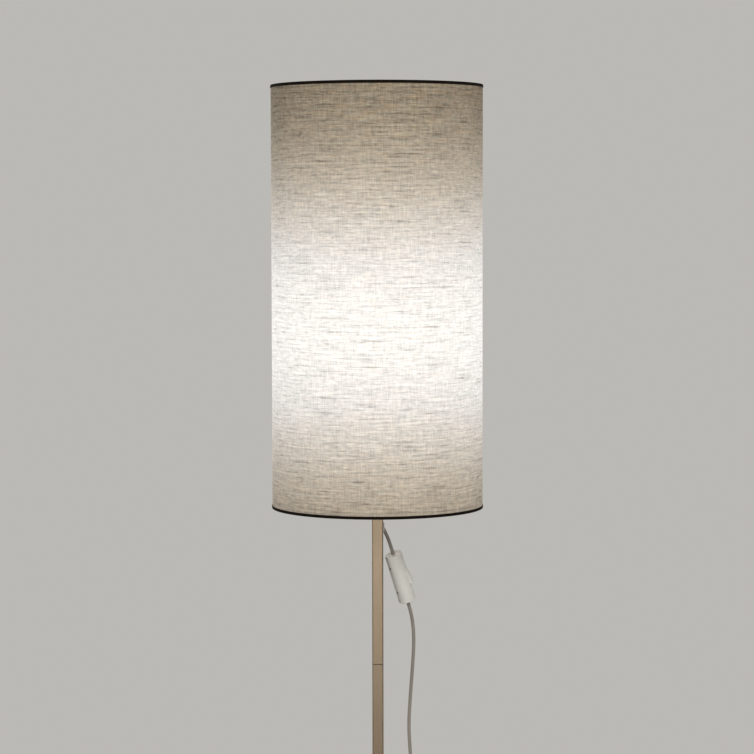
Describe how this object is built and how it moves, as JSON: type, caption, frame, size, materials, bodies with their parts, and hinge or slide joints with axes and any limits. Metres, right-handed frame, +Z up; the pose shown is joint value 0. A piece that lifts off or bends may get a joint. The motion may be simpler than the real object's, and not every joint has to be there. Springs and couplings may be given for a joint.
{
  "type": "column floor lamp",
  "caption": "Floor lamp with a square column on a round base, a tall drum shade and a rocker switch in line on its cord.",
  "frame": {"origin": "on the floor, under the middle of the base", "axes": "+Z up along the column; the front faces -Y; the cord leaves the column on its +X side"},
  "size_m": [0.3018, 0.4161, 1.6],
  "materials": {
    "satin_metal": "satin champagne nickel",
    "felt": "pressed felt",
    "zinc_steel": "zinc plated",
    "white_plastic": "moulded, soft gloss",
    "holder_ceramic": "unglazed",
    "brass": "plain",
    "bulb_glass": "frosted white",
    "bulb_plastic": "matt",
    "bulb_cap_metal": "nickel plated",
    "bulb_insulator_black": "vitrified",
    "linen": "natural linen, plain weave",
    "shade_film": "translucent film",
    "white_enamel": "enamelled wire",
    "cord_sheath": "soft sheath",
    "tie_plastic": "soft plastic",
    "plug_plastic": "moulded",
    "plug_pin_metal": "nickel plated",
    "dark_trim": "woven tape"
  },
  "bodies": {
    "lamp": {"base_plate": "satin_metal", "base_felt_ring": "felt", "base_washer": "zinc_steel", "base_bolt": "zinc_steel", "stem_lower_tube": "satin_metal", "stem_middle_tube": "satin_metal", "stem_upper_tube": "satin_metal", "stem_foot_plug": "zinc_steel", "stem_top_plug": "satin_metal", "holder_nipple": "zinc_steel", "holder_locknut": "zinc_steel", "holder_cap": "white_plastic", "holder_skirt": "white_plastic", "shade_ring_nut": "white_plastic", "holder_core": "holder_ceramic", "holder_screw_shell": "brass", "holder_centre_contact": "brass", "holder_terminals": "brass", "holder_terminal_screws": "zinc_steel", "shade_fabric": "linen", "shade_liner": "shade_film", "shade_spider": "white_enamel", "cord_bush": "white_plastic", "inner_lead": "cord_sheath", "cord_upper": "cord_sheath", "cord_lower": "cord_sheath", "cord_coil": "cord_sheath", "coil_tie": "tie_plastic", "plug_relief": "plug_plastic", "plug_body": "plug_plastic", "plug_pins": "plug_pin_metal", "lower_joint_bottom_plug": "zinc_steel", "lower_joint_stud": "zinc_steel", "lower_joint_top_plug": "zinc_steel", "upper_joint_bottom_plug": "zinc_steel", "upper_joint_stud": "zinc_steel", "upper_joint_top_plug": "zinc_steel", "shade_top_wire": "white_enamel", "shade_top_trim": "dark_trim", "shade_bottom_wire": "white_enamel", "shade_bottom_trim": "dark_trim", "switch_front_shell": "white_plastic", "switch_rear_shell": "white_plastic", "switch_rocker_pin": "zinc_steel", "switch_fulcrum_terminal": "brass", "switch_contact_terminal": "brass", "switch_neutral_link": "brass", "switch_small_screws": "zinc_steel", "switch_case_screws": "zinc_steel", "switch_cord_clamps": "white_plastic"},
    "rocker": {"switch_rocker": "white_plastic", "switch_plunger": "brass"},
    "bridge": {"switch_bridge": "brass"},
    "bulb_foot": {"bulb_insulator": "bulb_insulator_black", "bulb_tip_contact": "brass"},
    "bulb": {"bulb_globe": "bulb_glass", "bulb_collar": "bulb_plastic", "bulb_screw_cap": "bulb_cap_metal"}
  },
  "joints": [
    {"name": "rocker_tilt", "type": "hinge", "parent": "lamp", "child": "rocker", "pos_m": [0.04057, 0.01274, 0.90071], "axis": [0.1254, 0.9424, 0.3102], "range_deg": [0, 22.8]},
    {"name": "bridge_rock", "type": "hinge", "parent": "lamp", "child": "bridge", "pos_m": [0.03141, 0.01466, 0.89857], "axis": [0.1254, 0.9424, 0.3102], "range_deg": [-11.4, 0]},
    {"name": "bulb_lift", "type": "slide", "parent": "lamp", "child": "bulb_foot", "axis": [0, 0, 1], "range_m": [0, 0.01089]},
    {"name": "bulb_turn", "type": "hinge", "parent": "bulb_foot", "child": "bulb", "pos_m": [0, 0, 1.2], "axis": [0, 0, 1], "range_deg": [0, 1080]}
  ],
  "couplings": [
    {"joint": "bridge_rock", "follows": "rocker_tilt", "ratio": -0.5},
    {"joint": "bulb_lift", "follows": "bulb_turn", "m_per_rad": 0.00057751}
  ]
}
